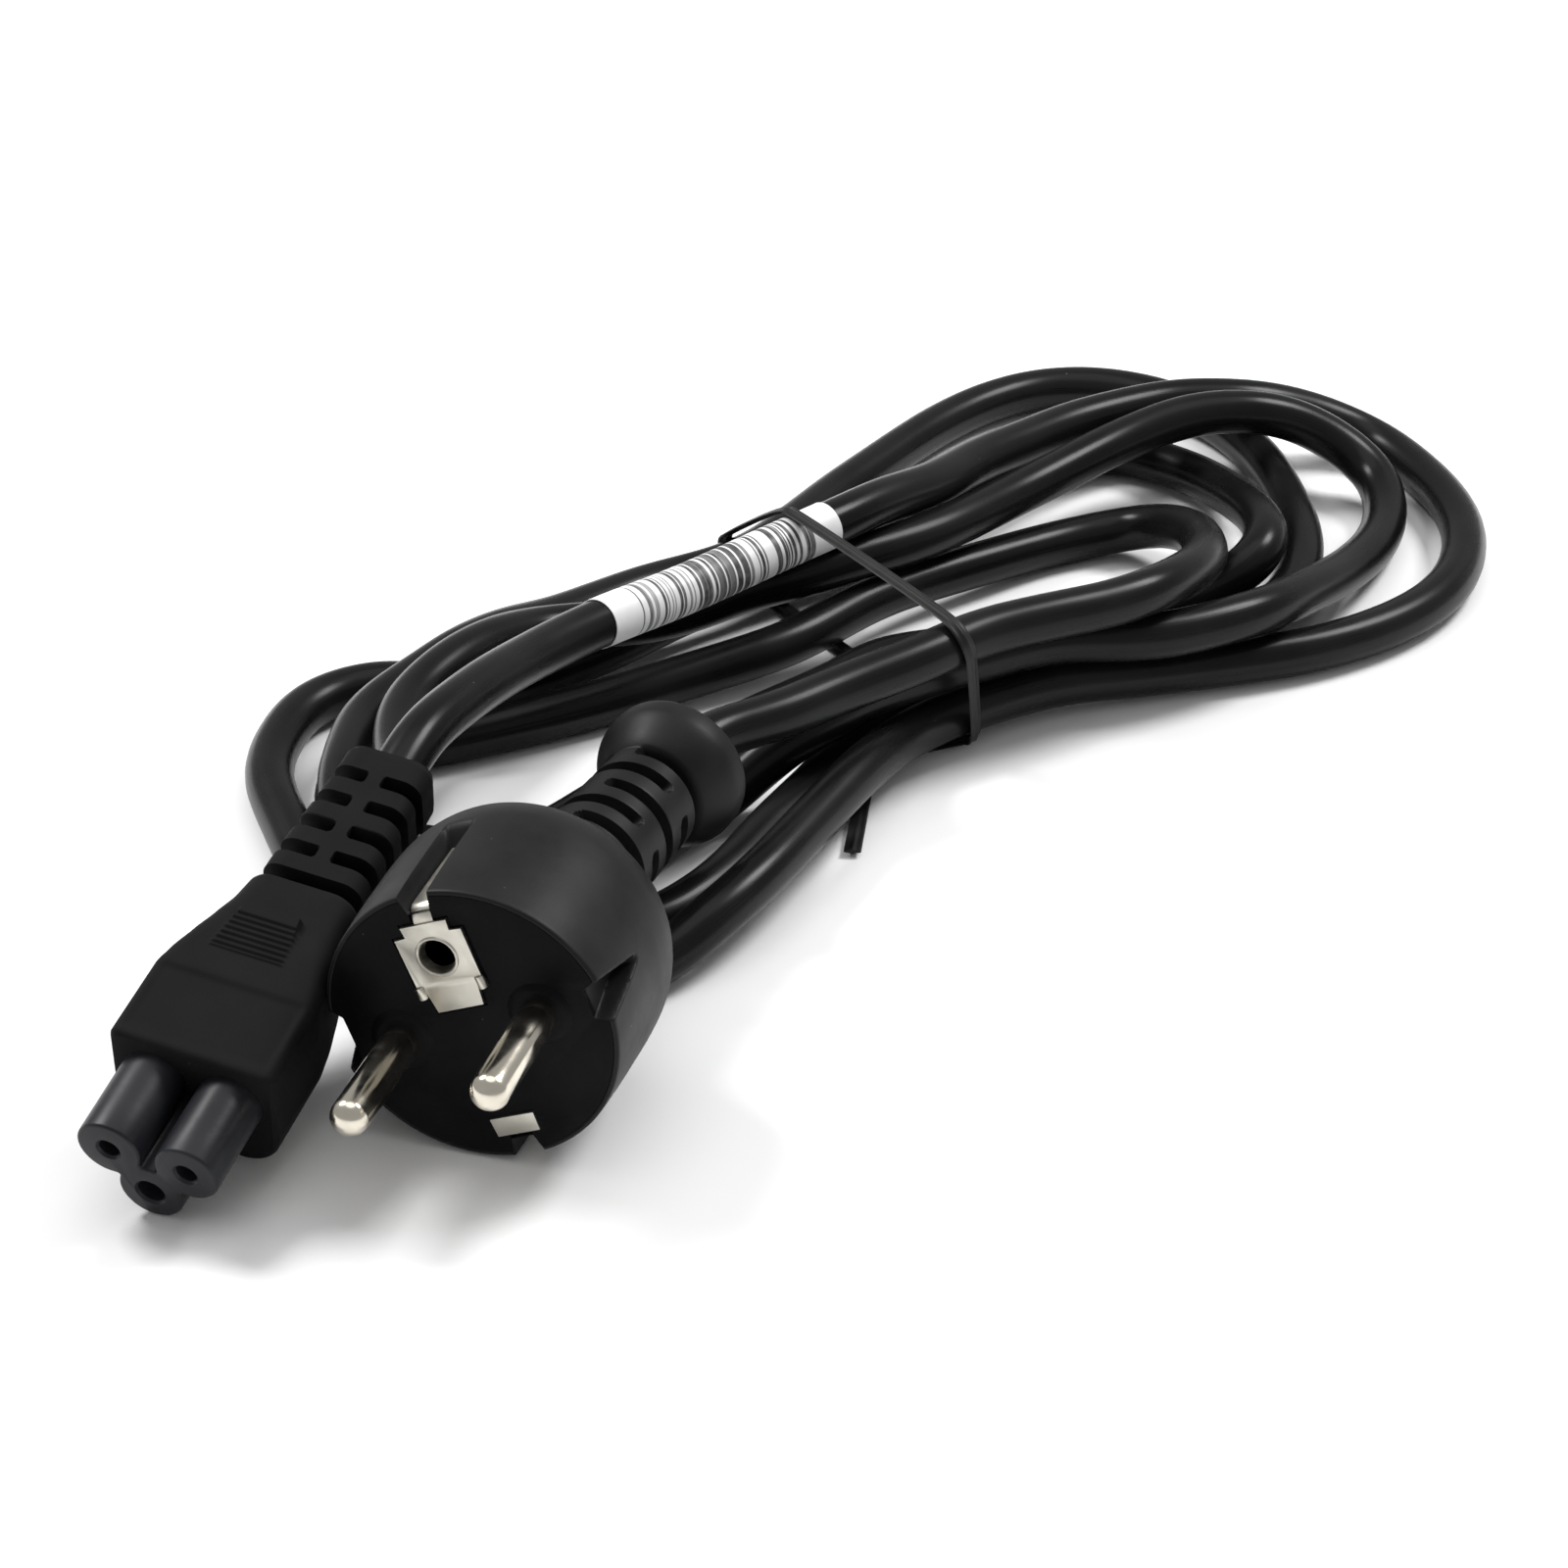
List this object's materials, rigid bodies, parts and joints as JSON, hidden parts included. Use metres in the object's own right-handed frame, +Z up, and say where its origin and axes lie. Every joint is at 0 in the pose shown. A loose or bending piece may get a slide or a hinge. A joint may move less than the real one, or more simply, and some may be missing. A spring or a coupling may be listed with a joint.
{
  "type": "cloverleaf power cord",
  "caption": "Mains lead with a round earthed plug and a small cloverleaf appliance connector, its black cord folded into a bundle held by a wire tie.",
  "frame": {"origin": "on the floor under the middle of the plug and connector together, without the cord, its label and its tie", "axes": "+Z up, the plug's pins point along -Y, and the folded cord lies towards +Y and +X"},
  "size_m": [0.1562, 0.2574, 0.0376],
  "materials": {
    "soft_black": "satin moulded",
    "hard_black": "fine matt",
    "nickel": "bright nickel plate",
    "contact_metal": "plain",
    "cord_jacket": "smooth satin",
    "paper": "matt paper",
    "tie_plastic": "satin"
  },
  "bodies": {
    "root": {"plug_body": "soft_black", "plug_insert": "hard_black", "pin_right": "nickel", "pin_left": "nickel", "earth_clip_upper": "nickel", "earth_clip_lower": "nickel", "connector_body": "soft_black", "connector_nose": "hard_black", "contact_left": "contact_metal", "contact_right": "contact_metal", "contact_earth": "contact_metal", "cord": "cord_jacket", "paper_label": "paper", "wire_tie": "tie_plastic"}
  },
  "joints": []
}
